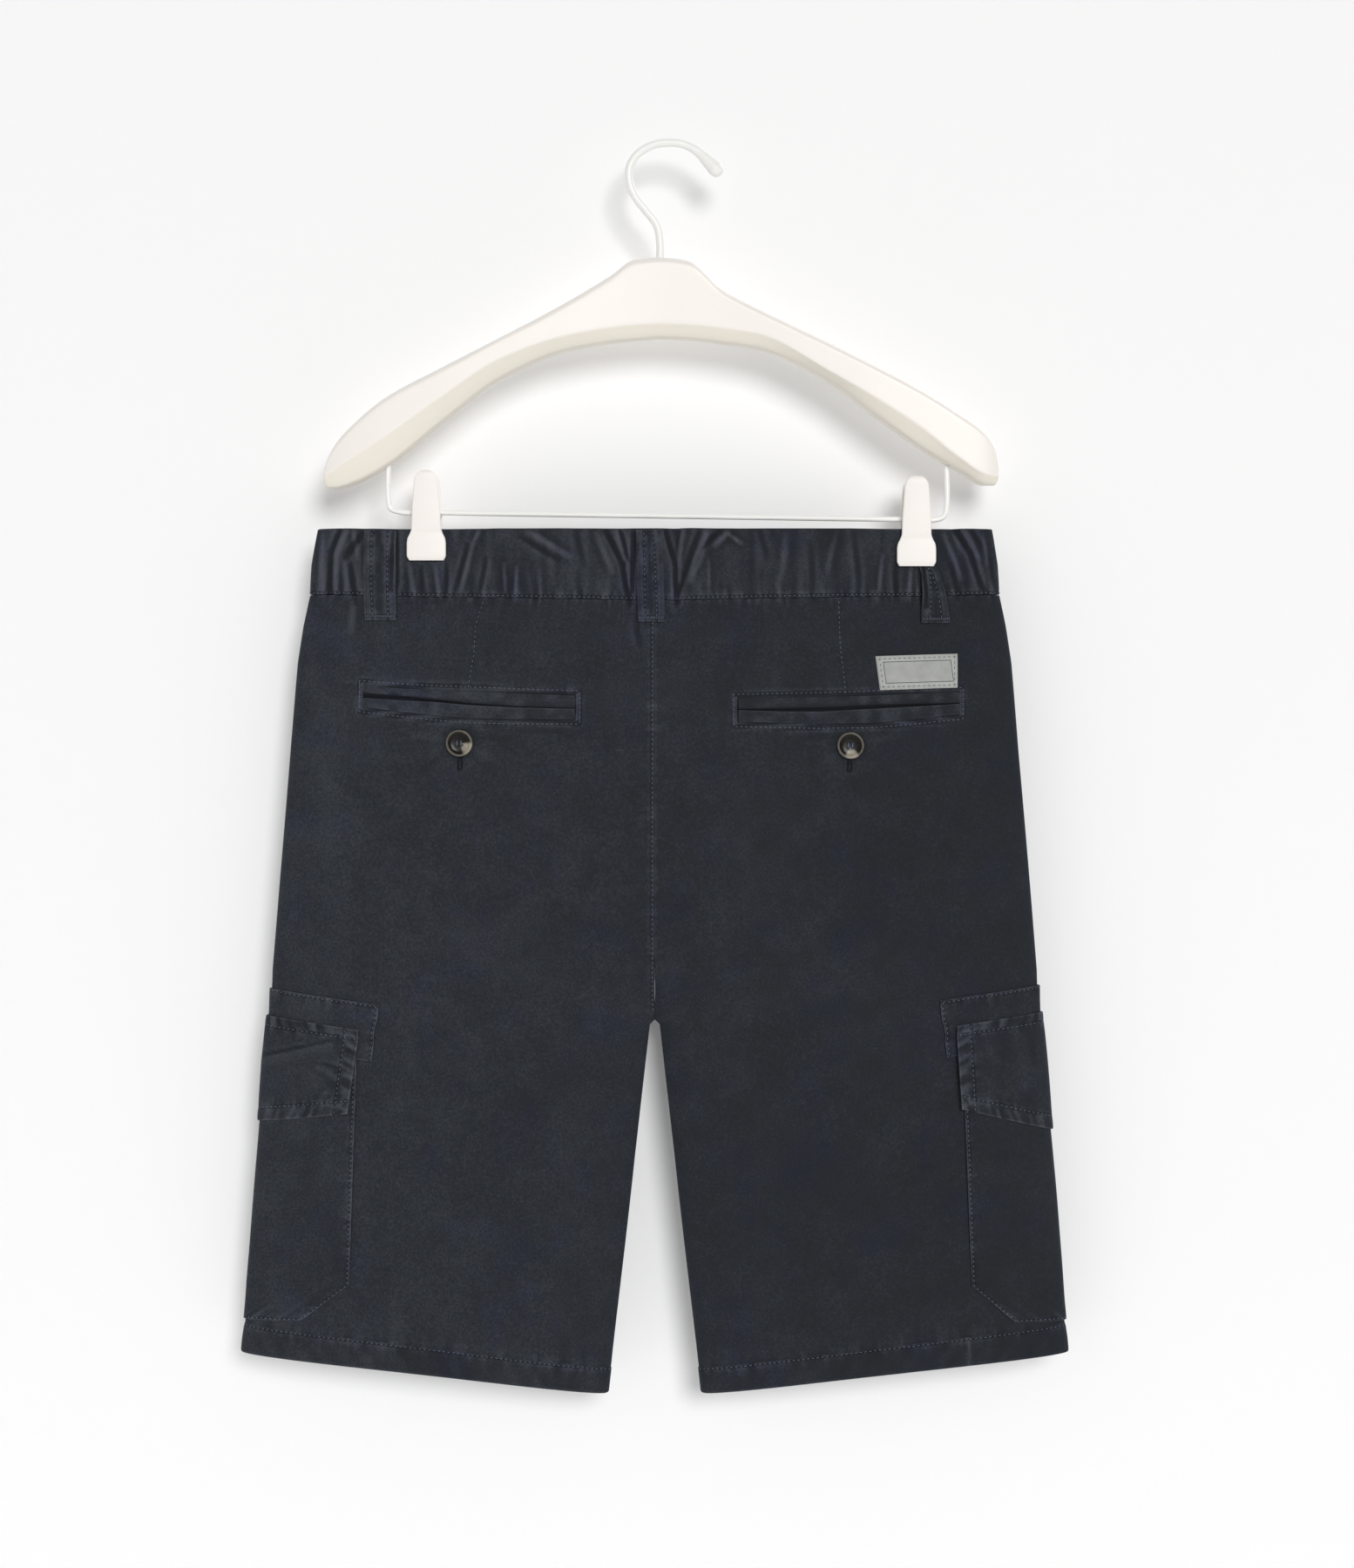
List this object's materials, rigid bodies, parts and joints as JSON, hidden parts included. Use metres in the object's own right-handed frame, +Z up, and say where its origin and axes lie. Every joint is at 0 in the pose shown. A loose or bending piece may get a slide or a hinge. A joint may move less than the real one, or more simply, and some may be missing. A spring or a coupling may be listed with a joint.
{
  "type": "cargo shorts on a clip hanger",
  "caption": "Knee-length cargo shorts hung flat by the waistband from a clip hanger, seat side to the front, with welt pockets and side pockets.",
  "frame": {"origin": "inside top of the hanger's hook, where it rests on a peg", "axes": "+Z up; -Y towards the seat of the shorts, the side that shows; +X to the right of someone who looks at the seat"},
  "size_m": [0.5174, 0.032, 0.7841],
  "materials": {
    "cotton": "washed dark navy cotton twill, tonal stitching",
    "label_weave": "grey woven label, plain",
    "button_horn": "dark horn look, polished",
    "hanger_white": "warm white satin lacquer",
    "wire_white": "warm white coated wire",
    "clip_white": "warm white satin plastic"
  },
  "bodies": {
    "root": {"leg_seat_left": "cotton", "leg_seat_right": "cotton", "leg_fly_left": "cotton", "leg_fly_right": "cotton", "waistband_seat": "cotton", "waistband_fly_left": "cotton", "waistband_fly_right": "cotton", "hem_band_left": "cotton", "hem_band_right": "cotton", "belt_loop_seat_left": "cotton", "belt_loop_seat_centre": "cotton", "belt_loop_seat_right": "cotton", "belt_loop_fly_left": "cotton", "belt_loop_fly_right": "cotton", "welt_upper_left": "cotton", "welt_lower_left": "cotton", "welt_upper_right": "cotton", "welt_lower_right": "cotton", "fly_placket": "cotton", "cargo_band_left": "cotton", "cargo_flap_left": "cotton", "cargo_pouch_left": "cotton", "cargo_band_right": "cotton", "cargo_flap_right": "cotton", "cargo_pouch_right": "cotton", "label": "label_weave", "button_pocket_left": "button_horn", "button_pocket_right": "button_horn", "button_waist": "button_horn", "hanger_body": "hanger_white", "hanger_hook": "wire_white", "hanger_bar": "wire_white", "clip_left_seat_leaf": "clip_white", "clip_left_fly_leaf": "clip_white", "clip_left_barrel": "clip_white", "clip_right_seat_leaf": "clip_white", "clip_right_fly_leaf": "clip_white", "clip_right_barrel": "clip_white"}
  },
  "joints": []
}
